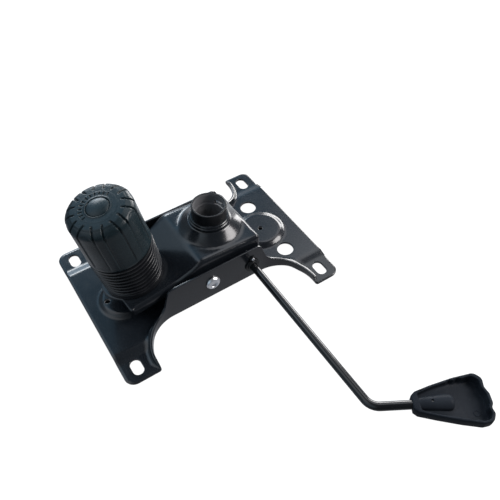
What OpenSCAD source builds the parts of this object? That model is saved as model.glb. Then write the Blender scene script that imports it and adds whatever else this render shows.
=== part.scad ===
// Office chair tilt mechanism: a seat plate with two side walls, a carrier
// that tilts between them, a tension knob over a coil spring, a gas-lift
// socket and a bent release lever. It lies with its seat face down:
// z = 0 is the face that meets the seat, +Y is the rear, +X is the lever side.

/* [Seat plate] */
// Length of the seat plate, front to rear
plate_l = 238; // [230:1:246]
// Width of the seat plate across its corner tabs
plate_w = 180; // [172:1:188]
// Thickness of the pressed sheet
plate_t = 2.5; // [2:0.1:3]
// Height of the raised middle above the corner tabs
joggle = 3; // [2:0.5:4]
// Slot spacing across the plate
slot_dx = 150; // [146:1:154]
// Slot spacing along the plate
slot_dy = 208; // [204:1:212]
// End-to-end length of a slot
slot_len = 17; // [14:0.5:18]
// Width of a slot
slot_w = 10.5; // [8:0.5:11]
// Half the distance over the outside of the two side walls
wall_x = 44.8; // [44.5:0.1:45.5]
// Height of the side wall at the lever side, above the seat face
wall_z = 42; // [40:0.5:42]
// Height of the other side wall
wall_far_z = 46.2; // [42:0.1:48]
// Radius of the two rear waist arcs
waist_r = 38; // [36:0.5:38]
// Radius of the two front waist arcs
waist_front_r = 36; // [34:0.5:36]
// Distance of the round embosses from the middle
emboss_y = 80.5; // [80:0.5:82]
// Diameter of the two rear access holes
access_d = 17; // [12:0.5:18]

/* [Tilt pivot] */
// Position of the tilt axis along the plate
pivot_y = -4; // [-5:0.5:-3]
// Height of the tilt axis
pivot_z = 23.8; // [23:0.1:24.5]
// Diameter of the pivot pin
pin_d = 12; // [10:0.5:12]

/* [Carrier] */
// Half width of the carrier box
box_x = 40; // [39.5:0.1:40]
// Half width of the carrier's arm
arm_x = 37; // [36:0.5:37]
// Sheet thickness of the carrier
box_t = 3; // [2.5:0.1:3]
// Height of the socket face above the origin
face_z = 53; // [52:0.5:54]

/* [Gas-lift socket] */
// Position of the socket's rim along the plate
socket_y = 22; // [21:0.5:23]
// Height of the socket's rim
socket_z = 78.4; // [77:0.2:80]
// Lean of the socket towards the rear, in degrees
socket_lean = 3; // [2.5:0.5:3.5]
// Outside diameter of the socket tube
socket_d = 34.6; // [34:0.2:35]
// Diameter of the socket's seat
socket_bore = 28; // [27:0.1:29]
// Length of the socket tube
socket_l = 43; // [42:0.5:44]

/* [Knob and spring] */
// Position of the sleeve's foot along the plate
knob_y = -65.1; // [-66:0.5:-64]
// Height of the sleeve's foot
knob_z = 34; // [33.5:0.5:34.5]
// Lean of the knob towards the front, in degrees
knob_lean = 8.4; // [8:0.2:9]
// Diameter of the knob
knob_d = 62; // [60:0.5:62]
// Height of the knob's top above the sleeve's foot
knob_top = 102; // [101:0.5:104]
// Height of the ribbed spring sleeve
sleeve_h = 47.4; // [47:0.1:47.6]
// Height of the knob's lower edge above the sleeve's foot
knob_low = 48; // [48:0.1:49]
// Diameter of the tension bolt
bolt_d = 10; // [8:0.5:10]
// Outside diameter of the tension spring
spring_d = 50; // [46:1:50]
// Wire diameter of the tension spring
spring_wire = 7; // [6:0.5:7]

/* [Lever] */
// Position of the lever's axis along the plate
lever_y = 41.2; // [41:0.1:41.5]
// Height of the lever's axis
lever_z = 19.9; // [19.5:0.1:20.2]
// Diameter of the lever's rod
rod_d = 8; // [7.5:0.1:8]
// Distance of the lever's bend from the middle
bend_x = 226.8; // [200:0.2:240]
// Angle of the bend, in degrees
bend_deg = 60; // [50:1:65]
// Radius of the bend
bend_r = 14; // [12:1:18]

/* [Hidden] */
$fn = 64;

steel = [0.06, 0.07, 0.09];
plastic = [0.13, 0.15, 0.16];
black = [0.05, 0.05, 0.06];
zinc = [0.78, 0.79, 0.8];

floor_z = joggle + plate_t;            // top of the plate's raised middle
wall_in = wall_x - plate_t;            // inside of the side walls
waist_y = 51.5;                        // rear end of the side walls
waist_front_y = 49.5;                  // front end of the side walls
emboss_h = 3.5;
rod_r = rod_d / 2;
arm_slope = tan(knob_lean);
face_slope = tan(socket_lean);
arm_y0 = -38;                          // where the arm begins
face_y0 = -11;                         // where the socket face ends
box_y = 54.5;                          // rear end of the carrier
nose_y = -98;                          // front end of the arm
bar_z = 17.5;                          // height of the bolt's T head
bar_t = -(knob_z - bar_z) / cos(knob_lean);
function arm_z(y) = knob_z + arm_slope * (y - knob_y);
function top_z(y) = face_z - face_slope * y;

// A profile drawn in Y and Z, pulled along X and centred
module across(w) { rotate([90, 0, 90]) linear_extrude(height = w, center = true) children(); }
// A profile drawn in X and Z, pulled along Y and centred
module along(l) { rotate([90, 0, 0]) linear_extrude(height = l, center = true) children(); }
// A round bar along X from x0 to x1 at height z and position y
module bar_x(x0, x1, y, z, r) { translate([x0, y, z]) rotate([0, 90, 0]) cylinder(r = r, h = x1 - x0); }
// The frames of the knob, the socket and the lever
module at_knob() { translate([0, knob_y, knob_z]) rotate([knob_lean, 0, 0]) children(); }
module at_socket() { translate([0, socket_y, socket_z]) rotate([-socket_lean, 0, 0]) children(); }
module at_lever() { translate([0, lever_y, lever_z]) children(); }
module at_grip() { translate([bend_x, lever_y, lever_z]) rotate([0, 0, bend_deg]) children(); }
module both_x() { children(); mirror([1, 0, 0]) children(); }
module both_y() { children(); mirror([0, 1, 0]) children(); }

// A closed round tube of radius r along the points p; ref is a direction that
// the tube never runs along
module swept(p, r, ref, n = 8) {
  m = len(p);
  function tang(i) = let(a = p[max(i - 1, 0)], b = p[min(i + 1, m - 1)]) (b - a) / norm(b - a);
  function side(i) = let(c = cross(tang(i), ref)) c / norm(c);
  ring = [for (i = [0:m - 1]) let(t = tang(i), s = side(i), q = cross(t, s))
    for (k = [0:n - 1]) p[i] + r * (cos(360 * k / n) * s + sin(360 * k / n) * q)];
  caps = [for (k = [1:n - 2]) each [[0, k + 1, k], [(m - 1) * n, (m - 1) * n + k, (m - 1) * n + k + 1]]];
  sides = [for (i = [0:m - 2], k = [0:n - 1]) let(a = i * n + k, b = i * n + (k + 1) % n, c = a + n, d = b + n)
    each [[a, b, d], [a, d, c]]];
  polyhedron(points = ring, faces = concat(caps, sides), convexity = 6);
}

// ---------------------------------------------------------------- seat plate
module plate_outline() {
  difference() {
    union() {
      square([plate_w - 20, plate_l], center = true);
      square([plate_w, plate_l - 20], center = true);
      both_x() both_y() translate([plate_w / 2 - 10, plate_l / 2 - 10]) circle(r = 10);
    }
    both_x() {
      translate([wall_x, -waist_front_y]) square([100, waist_front_y + waist_y]);
      translate([wall_x + waist_r, waist_y]) circle(r = waist_r);
      translate([wall_x + waist_r, 0]) square([60, waist_y + waist_r]);
      translate([wall_x + waist_front_r, -waist_front_y]) circle(r = waist_front_r);
      translate([wall_x + waist_front_r, -waist_front_y - waist_front_r]) square([60, waist_front_y + waist_front_r]);
    }
  }
}

module slot_2d() {
  union() {
    square([slot_len - slot_w, slot_w], center = true);
    both_x() translate([(slot_len - slot_w) / 2, 0]) circle(d = slot_w);
  }
}

module emboss() {
  rotate_extrude() polygon([[0, floor_z + emboss_h - plate_t], [20, floor_z + emboss_h - plate_t],
    [26.5, joggle], [26.5, floor_z], [20.4, floor_z + emboss_h], [0, floor_z + emboss_h]]);
}

// Low lip along a waist arc of radius r that starts at y0, against a wall of height h
module waist_lip(y0, r, h) {
  intersection() {
    linear_extrude(height = h) difference() {
      intersection() {
        translate([wall_x + r, y0]) circle(r = r + plate_t);
        translate([wall_in, y0]) square([wall_x + r - wall_in, r + plate_t]);
      }
      translate([wall_x + r, y0]) circle(r = r);
    }
    translate([0, y0, 0]) across(300) polygon([[-1.5, 1], [45, 1], [45, 5.5], [38.5, 6.5], [30.5, 9], [20.5, 12.5], [11.5, 16],
      [7, 21.5], [4, 0.75 * h - 1], [1.5, h - 3], [0, h - 1], [-1.5, h]]);
  }
}

// One side wall with the two lips that run on from it
module side_wall(h) {
  translate([wall_in, -waist_front_y, joggle]) cube([plate_t, waist_front_y + waist_y, h - joggle]);
  waist_lip(waist_y, waist_r, h);
  mirror([0, 1, 0]) waist_lip(waist_front_y, waist_front_r, h);
}

module seat_plate() color(steel) difference() {
  union() {
    difference() {
      intersection() {
        along(400) polygon([[-100, 0], [-66, 0], [-54.5, joggle], [54.5, joggle], [66, 0], [100, 0],
          [100, plate_t], [66, plate_t], [54.5, floor_z], [-54.5, floor_z], [-66, plate_t], [-100, plate_t]]);
        linear_extrude(height = 20, center = true) plate_outline();
      }
      both_y() translate([0, emboss_y, -1]) cylinder(r = 26.5, h = 30);
    }
    both_y() translate([0, emboss_y, 0]) emboss();
    side_wall(wall_z);
    mirror([1, 0, 0]) side_wall(wall_far_z);
  }
  both_x() both_y() translate([slot_dx / 2, slot_dy / 2, -1]) linear_extrude(height = 20) slot_2d();
  both_x() translate([36.3, 88, -1]) cylinder(d = access_d, h = 20);
  both_y() translate([0, emboss_y, 0]) cylinder(r = 2.7, h = 30);
  translate([-2.8, -97.3, 0]) cylinder(r = 2.8, h = 30);
  bar_x(-60, 60, pivot_y, pivot_z, pin_d / 2);
  bar_x(-60, 60, lever_y, lever_z, 7);
  bar_x(30, 60, lever_y + 0.4, lever_z + 9.5, 1.1);
}

// Plated pin with a dished head at each end
module pivot_pin() color(zinc) difference() {
  union() {
    bar_x(-wall_x - 1, wall_x + 1, pivot_y, pivot_z, pin_d / 2);
    both_x() translate([wall_x, pivot_y, pivot_z]) rotate([0, 90, 0])
      rotate_extrude() polygon([[0, 0], [7.4, 0], [7.4, 1.2], [6.6, 2.4], [5.2, 3.1], [0, 3.1]]);
  }
  both_x() translate([wall_x + 1.7, pivot_y, pivot_z]) rotate([0, 90, 0]) cylinder(r1 = 2.4, r2 = 3.8, h = 2);
}

// Bent strap that the bolt's T head hooks under
module anchor_bracket() color(steel) difference() {
  across(32) polygon([[-44, floor_z], [-51, floor_z], [-51, 22], [-70, 22], [-70, floor_z + emboss_h], [-79, floor_z + emboss_h],
    [-79, floor_z + emboss_h + 3], [-73, floor_z + emboss_h + 3], [-73, 25], [-48, 25], [-48, floor_z + 3], [-44, floor_z + 3]]);
  translate([-6.5, -70.5, 20]) cube([13, 16, 10]);
}

// Rubber blocks that the arm rests on
module rest_stop_pads() color(black) both_x()
  translate([11.4, 0, 0]) across(8) polygon([[-69, 25], [-57, 25], [-57, arm_z(-57) - box_t - 0.1],
    [-69, arm_z(-69) - box_t - 0.1]]);

// Rubber buttons that the carrier's rear meets at full tilt
module tilt_stop_pads() color(black) both_x() translate([37, 49.5, floor_z])
  rotate_extrude() polygon([[0, 0], [4.6, 0], [4.6, 1.8], [3.8, 3], [0, 3]]);

module lever_bush_near() color(black) difference() {
  union() {
    bar_x(wall_in, wall_x, lever_y, lever_z, 7);
    bar_x(wall_x, wall_x + 1.6, lever_y, lever_z, 7.8);
    bar_x(wall_x, wall_x + 1.6, lever_y + 0.4, lever_z + 9.5, 3);
    bar_x(wall_x, wall_x + 2.8, lever_y, lever_z, 5.8);
  }
  bar_x(30, 70, lever_y, lever_z, rod_r + 0.06);
  bar_x(30, 70, lever_y + 0.4, lever_z + 9.5, 1.1);
}

module lever_bush_far() color(black) mirror([1, 0, 0]) difference() {
  union() {
    bar_x(wall_in, wall_x, lever_y, lever_z, 7);
    bar_x(wall_x, wall_x + 2.6, lever_y, lever_z, 8.6);
  }
  bar_x(30, 70, lever_y, lever_z, rod_r + 0.06);
}

module bush_rivet() color(zinc) union() {
  bar_x(wall_in, wall_x + 1.6, lever_y + 0.4, lever_z + 9.5, 1.1);
  translate([wall_x + 1.6, lever_y + 0.4, lever_z + 9.5]) rotate([0, 90, 0])
    rotate_extrude() polygon([[0, 0], [1.7, 0], [1.5, 0.7], [0.9, 1.1], [0, 1.1]]);
}

// ------------------------------------------------------------------- carrier
module carrier_plan(inset, front) {
  rn = 5 - min(inset, 3);
  rf = 11 - min(inset, 3);
  w = box_x - inset;
  union() {
    polygon([[w, box_y - 5], [w, -20], [arm_x - inset, arm_y0], [arm_x - inset, -86.2 - front], [20.2, -87.4 - front],
      [14.5, -92.6 - front], [9.5, -96 - front], [4.5, nose_y - front], [-4.5, nose_y - front], [-9.5, -96 - front],
      [-14.5, -92.6 - front], [-20.2, -87.4 - front], [inset - arm_x, -86.2 - front], [inset - arm_x, arm_y0], [-w, -20], [-w, box_y - 11], [11 - box_x, box_y - 11], [11 - box_x, box_y - inset],
      [box_x - 5, box_y - inset], [box_x - 5, box_y - 5]]);
    translate([box_x - 5, box_y - 5]) circle(r = rn);
    translate([11 - box_x, box_y - 11]) circle(r = rf);
  }
}

module carrier_housing() color(steel) difference() {
  union() {
    difference() {
      intersection() {
        across(120) polygon([[box_y, top_z(box_y)], [face_y0, top_z(face_y0)], [arm_y0, arm_z(arm_y0)],
          [nose_y - 2, arm_z(nose_y - 2)], [nose_y - 2, arm_z(nose_y - 2) - 10], [-47, arm_z(-47) - 10.3],
          [-18, 13], [10, 13], [30, 20], [box_y, 21]]);
        linear_extrude(height = 200, center = true) carrier_plan(0, 0);
      }
      intersection() {
        across(120) polygon([[box_y - box_t, top_z(box_y) - box_t], [face_y0, top_z(face_y0) - box_t],
          [arm_y0 - 1, arm_z(arm_y0 - 1) - box_t], [-140, arm_z(-140) - box_t], [-140, -20], [80, -20],
          [80, 30], [box_y - box_t, 30]]);
        linear_extrude(height = 200, center = true) carrier_plan(box_t, 20);
      }
      at_socket() translate([0, 0, -40]) cylinder(r = 31.5, h = 30);
    }
    at_socket() rotate_extrude() polygon([[33.8, -26.4], [31, -25.6], [26.5, -22.6], [23, -19.6], [21.2, -17.5],
      [socket_d / 2 + 0.05, -17.5], [socket_d / 2 + 0.05, -20.5], [20, -21.8], [24.2, -25.4], [28.6, -28.4], [31, -29.3], [33.8, -29.3]]);
  }
  bar_x(-60, 60, pivot_y, pivot_z, pin_d / 2 + 2);
  both_x() rod_slot();
  at_knob() translate([0, 0, -20]) cylinder(r = 8, h = 40);
}

// The slots in the carrier's sides that the lever's rod passes through
module rod_slot() union() {
  translate([30, lever_y - 5.2, 0]) cube([20, 10.2, lever_z + 9.4]);
  bar_x(30, 50, lever_y - 0.1, lever_z + 9.4, 5.1);
}

// Steel tube with a wide mouth, a round seat and a window in its rear
module gas_lift_socket() color(steel) at_socket() difference() {
  rotate_extrude() polygon([[socket_bore / 2, -socket_l], [socket_d / 2, -socket_l], [socket_d / 2, -0.8],
    [socket_d / 2 - 0.8, 0], [15.4, 0], [14.9, -1], [14.7, -11], [socket_bore / 2, -13]]);
  rotate([0, 0, 104]) translate([5, -6.4, -12]) cube([20, 12.8, 5.6]);
}

module socket_collar() color(steel) at_socket() rotate_extrude()
  polygon([[socket_d / 2, -17.4], [20.6, -17.4], [20.6, -14.6], [19.6, -13.6], [19.2, -13.6], [19.2, -12.8], [18.6, -12.2], [socket_d / 2, -12.2]]);

// Plate across the carrier that holds the tube's inner end
module socket_support() color(steel) at_socket() difference() {
  translate([-box_x + box_t, -21, -39]) cube([2 * (box_x - box_t), 42, 3]);
  translate([0, 0, -60]) cylinder(d = socket_d + 0.04, h = 60);
}

module pivot_tube() color(steel) difference() {
  bar_x(-box_x + box_t, box_x - box_t, pivot_y, pivot_z, 9.5);
  bar_x(-60, 60, pivot_y, pivot_z, pin_d / 2 + 0.5);
}

module pivot_bushes() color(black) both_x() difference() {
  union() {
    bar_x(box_x - box_t, box_x, pivot_y, pivot_z, pin_d / 2 + 2);
    bar_x(box_x, box_x + 2, pivot_y, pivot_z, 11.5);
  }
  bar_x(30, 50, pivot_y, pivot_z, pin_d / 2 + 0.05);
}

// ------------------------------------------------------------ knob and spring
module spring_seat() color(steel) at_knob() rotate_extrude()
  polygon([[bolt_d / 2 + 0.6, 2], [26.8, 2], [26.8, 4], [17.2, 4], [16.6, 8], [15, 8], [15, 4], [bolt_d / 2 + 0.6, 4]]);

// Soft ribbed sleeve between the arm and the knob, round the spring
module spring_sleeve() color(black) difference() {
  at_knob() rotate_extrude() polygon(concat(
    [[20, 0], [29.8, 0], [29.8, 6.8]],
    [for (i = [0:7]) for (q = [[28.9, -2], [31, -0.7], [31, 0.7], [28.9, 2]]) [q[0], 9.5 + 5 * i + q[1]]],
    [[28.9, sleeve_h], [27.2, sleeve_h], [27.2, 2], [20, 2]]));
  // Its foot is cut away over the bend of the carrier's top
  across(120) polygon([[arm_y0, arm_z(arm_y0) + 0.1], [face_y0, top_z(face_y0) + 0.1], [face_y0, 20], [arm_y0, 20]]);
}

// Coil spring with closed, level ends
module tension_spring() color(zinc) at_knob() {
  turns = 6;
  lo = 4 + spring_wire / 2 + 0.1;
  hi = 76 - spring_wire / 2 - 0.1;
  flat = (spring_wire + 0.3) / (hi - lo);
  ease = function(u) u * turns < 1 ? flat * u * turns : u * turns > turns - 1 ? 1 - flat * (1 - u) * turns
    : flat + (1 - 2 * flat) * (u * turns - 1) / (turns - 2);
  swept([for (i = [0:150]) let(u = i / 150, a = 360 * turns * u)
    [(spring_d - spring_wire) / 2 * cos(a), (spring_d - spring_wire) / 2 * sin(a), lo + (hi - lo) * ease(u)]], spring_wire / 2, [0, 0, 1]);
}

// Bolt with a round T head along X
module tension_bolt() color(zinc) at_knob() union() {
  translate([0, 0, bar_t]) cylinder(d = bolt_d, h = 91 - bar_t - 1);
  translate([0, 0, 90]) cylinder(d1 = bolt_d, d2 = bolt_d - 2, h = 1);
  translate([-13, 0, bar_t]) rotate([0, 90, 0]) cylinder(r = 4, h = 26);
}

module upper_spring_cup() color(zinc) at_knob() rotate_extrude()
  polygon([[bolt_d / 2 + 0.5, 76], [15, 76], [15, 72], [16.6, 72], [17.2, 76], [25, 76], [25, 78.8], [bolt_d / 2 + 0.5, 78.8]]);

module thrust_washer() color(black) at_knob() rotate_extrude()
  polygon([[bolt_d / 2 + 0.5, 78.8], [14, 78.8], [14, 80.4], [bolt_d / 2 + 0.5, 80.4]]);

// Fluted knob: a shell with a hub that holds the nut
module tension_knob() color(plastic) at_knob() difference() {
  rotate_extrude() polygon([[27.4, knob_low], [knob_d / 2, knob_low], [knob_d / 2, knob_low + 2], [knob_d / 2 - 0.4, 91.5], [knob_d / 2 - 1.1, 94.8],
    [knob_d / 2 - 2.9, 97.4], [knob_d / 2 - 5.6, 99.2], [20, knob_top - 1.5], [10.4, knob_top - 1], [10.4, 97.6], [6.6, 97.6], [6.6, 80.6], [13.5, 80.6],
    [13.5, 91], [24, 91], [26.6, 87]]);
  for (a = [0:7], d = [-4.5, 4.5]) rotate([0, 0, 18.5 + a * 45]) translate([knob_d / 2 + 0.9, d, knob_low + 4]) cylinder(r = 1.9, h = 80);
  translate([0, 0, 80]) cylinder(d = 19.8, h = 10.6, $fn = 6);
}

module knob_nut() color(zinc) at_knob() difference() {
  translate([0, 0, 80.6]) cylinder(d = 19.7, h = 9.9, $fn = 6);
  translate([0, 0, 70]) cylinder(r = bolt_d / 2 + 0.05, h = 40);
}

// Domed button in the top of the knob
module knob_cap() color(plastic) at_knob() rotate_extrude()
  polygon([[0, 97.7], [10.2, 97.7], [10.2, knob_top - 1.2], [9.2, knob_top - 0.6], [6, knob_top + 0.1], [0, knob_top + 0.5]]);

// --------------------------------------------------------------------- lever
// Plate that moves in and out with the rod
module lock_plate() color(zinc) difference() {
  translate([22, 35.4, 7]) cube([3, 14, 19]);
  bar_x(10, 40, lever_y, lever_z, rod_r + 0.05);
}

// Wire spring round the rod, with one leg down to the plate
module lever_return_spring() color(zinc) {
  n = 52;
  coil = [for (i = [0:n]) let(a = 90 - 360 * 3.25 * i / n)
    [25.8 + 8 * i / n, lever_y + 5.6 * cos(a), lever_z + 5.6 * sin(a)]];
  leg = [for (q = [[33.8, 4], [32.2, 8], [30.2, 13.2]]) [q[0], lever_y + 5.6, lever_z - q[1]]];
  swept(concat(coil, leg), 0.8, [1, 0, 0]);
}

module lever_rod() color(black) union() {
  t = bend_r * tan(bend_deg / 2);
  bar_x(-46, bend_x - t + 0.5, lever_y, lever_z, rod_r);
  translate([bend_x - t, lever_y + bend_r, lever_z]) rotate([0, 0, -90])
    rotate_extrude(angle = bend_deg) translate([bend_r, 0]) circle(r = rod_r - 0.02);
  at_grip() translate([t - 0.5, 0, 0]) rotate([0, 90, 0]) cylinder(r = rod_r, h = 56 - t + 0.5);
}

module grip_2d(d, u0) {
  polygon([[u0, -8 + d], [u0, 9 - d], [52, 14.9 - d], [83, 23.3 - d], [88.5, 23 - d], [94.8 - d, 16], [96 - d, 6], [96 - d, -5],
    [96.4 - d, -15], [88.5, -21 + d], [83, -21.4 + d], [52, -13 + d]]);
  translate([88.2, 14.6]) circle(r = 9 - d);
  translate([88.4, 0]) circle(r = 9 - d);
  translate([88.8, -12]) circle(r = 9.7 - d);
}

// Hollow paddle with a socket for the rod
module lever_handle() color(black) at_grip() difference() {
  union() {
    difference() {
      translate([0, 0, -6.5]) linear_extrude(height = 11) grip_2d(0, 34);
      translate([0, 0, -4.3]) linear_extrude(height = 20) grip_2d(2.3, 37);
    }
    translate([34, 0, 0]) rotate([0, 90, 0]) cylinder(r = 5.4, h = 34);
    translate([34, -3, -5.5]) cube([34, 6, 5]);
  }
  translate([30, 0, 0]) rotate([0, 90, 0]) cylinder(r = rod_r, h = 26);
}

// Hub and tongue on the rod, which press the gas lift's button
module release_tongue() color(zinc) difference() {
  union() {
    bar_x(-9, 21.8, lever_y, lever_z, 6);
    translate([-9, 12, lever_z - 1.5]) cube([28, lever_y - 12, 3]);
    bar_x(-9, 19, 13.5, lever_z + 1.5, 1.5);
  }
  bar_x(-20, 40, lever_y, lever_z, rod_r);
}

module lever_ring() color(zinc) difference() {
  bar_x(35.2, 36.4, lever_y, lever_z, 6.6);
  bar_x(30, 40, lever_y, lever_z, rod_r);
}

seat_plate();
pivot_pin();
anchor_bracket();
rest_stop_pads();
tilt_stop_pads();
lever_bush_near();
lever_bush_far();
bush_rivet();
carrier_housing();
gas_lift_socket();
socket_collar();
socket_support();
pivot_tube();
pivot_bushes();
spring_seat();
spring_sleeve();
tension_spring();
tension_bolt();
upper_spring_cup();
thrust_washer();
tension_knob();
knob_nut();
knob_cap();
lock_plate();
lever_return_spring();
lever_rod();
lever_handle();
release_tongue();
lever_ring();
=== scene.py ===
import math

import bmesh
import bpy
import numpy as np
from mathutils import Matrix, Vector
from mathutils.geometry import delaunay_2d_cdt


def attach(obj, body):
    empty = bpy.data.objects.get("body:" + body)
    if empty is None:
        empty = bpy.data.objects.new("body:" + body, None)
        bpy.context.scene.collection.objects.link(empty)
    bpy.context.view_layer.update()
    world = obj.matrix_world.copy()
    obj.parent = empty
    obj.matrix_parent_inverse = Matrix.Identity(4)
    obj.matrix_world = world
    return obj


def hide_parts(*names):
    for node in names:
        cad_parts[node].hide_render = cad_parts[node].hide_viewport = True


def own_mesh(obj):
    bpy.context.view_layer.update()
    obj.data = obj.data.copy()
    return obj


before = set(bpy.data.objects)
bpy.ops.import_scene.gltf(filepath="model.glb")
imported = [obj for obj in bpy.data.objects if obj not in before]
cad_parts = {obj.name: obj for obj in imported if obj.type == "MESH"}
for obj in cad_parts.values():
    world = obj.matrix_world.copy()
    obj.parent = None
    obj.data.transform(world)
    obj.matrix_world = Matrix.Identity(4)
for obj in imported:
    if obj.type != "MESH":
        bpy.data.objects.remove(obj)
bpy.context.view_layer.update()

MM = 0.001
SCENE = bpy.context.scene

# ------------------------------------------------------------------ camera
CAM = (0.35963, -0.152178, 0.483188)
AZ, EL, ROLL, F = 1.0243, 0.8730, -0.0326, 592.0
fwd = Vector((-math.sin(AZ) * math.cos(EL), math.cos(AZ) * math.cos(EL), -math.sin(EL)))
right = Vector((math.cos(AZ), math.sin(AZ), 0))
up = right.cross(fwd)
r2 = math.cos(ROLL) * right + math.sin(ROLL) * up
u2 = -math.sin(ROLL) * right + math.cos(ROLL) * up
cam = bpy.data.cameras.new("camera")
cam_ob = bpy.data.objects.new("camera", cam)
SCENE.collection.objects.link(cam_ob)
pose = Matrix.Identity(4)
for col, vec in enumerate((r2, u2, -fwd)):
    for row in range(3):
        pose[row][col] = vec[row]
for row in range(3):
    pose[row][3] = CAM[row]
cam_ob.matrix_world = pose
cam.sensor_width = 36
cam.lens = F / 500 * 36
cam.clip_start = 0.01
SCENE.camera = cam_ob
SCENE.view_settings.view_transform = "Standard"


# --------------------------------------------------------------- materials
def node_mat(name):
    m = bpy.data.materials.new(name)
    m.use_nodes = True
    nt = m.node_tree
    return m, nt, nt.nodes["Principled BSDF"]


def noise(nt, coord, scale, detail=3.0, rough=0.5):
    n = nt.nodes.new("ShaderNodeTexNoise")
    n.inputs["Scale"].default_value = scale
    n.inputs["Detail"].default_value = detail
    n.inputs["Roughness"].default_value = rough
    nt.links.new(coord, n.inputs["Vector"])
    return n.outputs["Fac"]


def ramp(nt, fac, lo, hi, a, b):
    n = nt.nodes.new("ShaderNodeMapRange")
    n.inputs["From Min"].default_value = lo
    n.inputs["From Max"].default_value = hi
    n.inputs["To Min"].default_value = a
    n.inputs["To Max"].default_value = b
    nt.links.new(fac, n.inputs["Value"])
    return n.outputs["Result"]


def mix_rgb(nt, fac, a, b):
    n = nt.nodes.new("ShaderNodeMix")
    n.data_type = "RGBA"
    nt.links.new(fac, n.inputs[0])
    for k, c in ((6, a), (7, b)):
        if isinstance(c, tuple):
            n.inputs[k].default_value = (*c, 1)
        else:
            nt.links.new(c, n.inputs[k])
    return n.outputs[2]


def bump(nt, height, strength, dist, normal=None):
    n = nt.nodes.new("ShaderNodeBump")
    n.inputs["Strength"].default_value = strength
    n.inputs["Distance"].default_value = dist
    nt.links.new(height, n.inputs["Height"])
    if normal is not None:
        nt.links.new(normal, n.inputs["Normal"])
    return n.outputs["Normal"]


def surface(name, dark, light, rough, patch=35.0, grain=900.0, grain_h=0.00004, metal=0.0, spec=0.5,
            coat=0.0, coat_rough=0.1, wear=None, speck=0.0, peel=0.0):
    """A finish with patchy colour, varied gloss, a fine grain and, if given, edges worn to another colour."""
    m, nt, p = node_mat(name)
    coord = nt.nodes.new("ShaderNodeTexCoord").outputs["Object"]
    big = noise(nt, coord, patch, 4.0, 0.55)
    fine = noise(nt, coord, grain, 2.0, 0.5)
    col = mix_rgb(nt, ramp(nt, big, 0.35, 0.65, 0.0, 1.0), dark, light)
    if speck:
        dots = noise(nt, coord, 2600.0, 1.0, 0.5)
        col = mix_rgb(nt, ramp(nt, dots, 0.68, 0.74, 0.0, speck), col, (0.35, 0.35, 0.34))
    if wear:
        geo = nt.nodes.new("ShaderNodeNewGeometry")
        edge = ramp(nt, geo.outputs["Pointiness"], 0.53, 0.60, 0.0, 1.0)
        gate = ramp(nt, noise(nt, coord, 160.0, 3.0, 0.6), 0.45, 0.62, 0.0, wear[1])
        mul = nt.nodes.new("ShaderNodeMath")
        mul.operation = "MULTIPLY"
        nt.links.new(edge, mul.inputs[0])
        nt.links.new(gate, mul.inputs[1])
        col = mix_rgb(nt, mul.outputs[0], col, wear[0])
    nt.links.new(col, p.inputs["Base Color"])
    rr = noise(nt, coord, patch * 3.1, 3.0, 0.6)
    nt.links.new(ramp(nt, rr, 0.3, 0.7, rough[0], rough[1]), p.inputs["Roughness"])
    nrm = bump(nt, fine, 1.0, grain_h)
    if peel:
        nrm = bump(nt, noise(nt, coord, 210.0, 2.0, 0.4), 1.0, peel, nrm)
    nt.links.new(nrm, p.inputs["Normal"])
    p.inputs["Metallic"].default_value = metal
    p.inputs["Specular IOR Level"].default_value = spec
    p.inputs["Coat Weight"].default_value = coat
    p.inputs["Coat Roughness"].default_value = coat_rough
    return m


M_STEEL = surface("black_paint", (0.0045, 0.0058, 0.0078), (0.0065, 0.0085, 0.0112), (0.18, 0.24), 28.0, 1100.0, 0.000010,
                  spec=0.36, coat=0.10, coat_rough=0.10, wear=((0.05, 0.055, 0.06), 0.3), speck=0.08)
M_ROD = surface("rod_paint", (0.0035, 0.0037, 0.0045), (0.0055, 0.0058, 0.0068), (0.12, 0.17), 40.0, 900.0, 0.00001,
                spec=0.34, coat=0.08, coat_rough=0.05, speck=0.05)
M_TUBE = surface("tube_paint", (0.004, 0.0045, 0.0055), (0.0065, 0.007, 0.0085), (0.36, 0.46), 40.0, 1500.0, 0.00002,
                 spec=0.18, wear=((0.05, 0.05, 0.05), 0.5), speck=0.07)
# Painted light: within about 15 mm of the socket's axis the base colour turns to a lighter grey, standing in for light
# reaching into the tube's bore.
nt = M_TUBE.node_tree
place = nt.nodes.new("ShaderNodeMapping")
place.vector_type = "TEXTURE"
place.inputs["Location"].default_value = (0, 0.022, 0.0784)
place.inputs["Rotation"].default_value = (math.radians(-3), 0, 0)
nt.links.new(nt.nodes.new("ShaderNodeTexCoord").outputs["Object"], place.inputs["Vector"])
flat = nt.nodes.new("ShaderNodeVectorMath")
flat.operation = "MULTIPLY"
flat.inputs[1].default_value = (1, 1, 0)
nt.links.new(place.outputs["Vector"], flat.inputs[0])
off = nt.nodes.new("ShaderNodeVectorMath")
off.operation = "LENGTH"
nt.links.new(flat.outputs["Vector"], off.inputs[0])
skin = nt.nodes["Principled BSDF"].inputs["Base Color"]
bore_painted_light = mix_rgb(nt, noise(nt, place.outputs["Vector"], 120.0, 3.0, 0.6), (0.080, 0.081, 0.086), (0.130, 0.131, 0.138))
paint = skin.links[0].from_socket
nt.links.new(mix_rgb(nt, ramp(nt, off.outputs["Value"], 0.0149, 0.0154, 1.0, 0.0), paint, bore_painted_light), skin)
M_KNOB = surface("knob_plastic", (0.0068, 0.0128, 0.0158), (0.0098, 0.0172, 0.0210), (0.24, 0.30), 45.0, 2400.0, 0.00004,
                 spec=0.19, speck=0.04)
M_SLEEVE = surface("sleeve_plastic", (0.0055, 0.006, 0.0075), (0.0085, 0.0095, 0.011), (0.22, 0.28), 45.0, 1800.0, 0.00002,
                   spec=0.32, speck=0.04)
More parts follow.
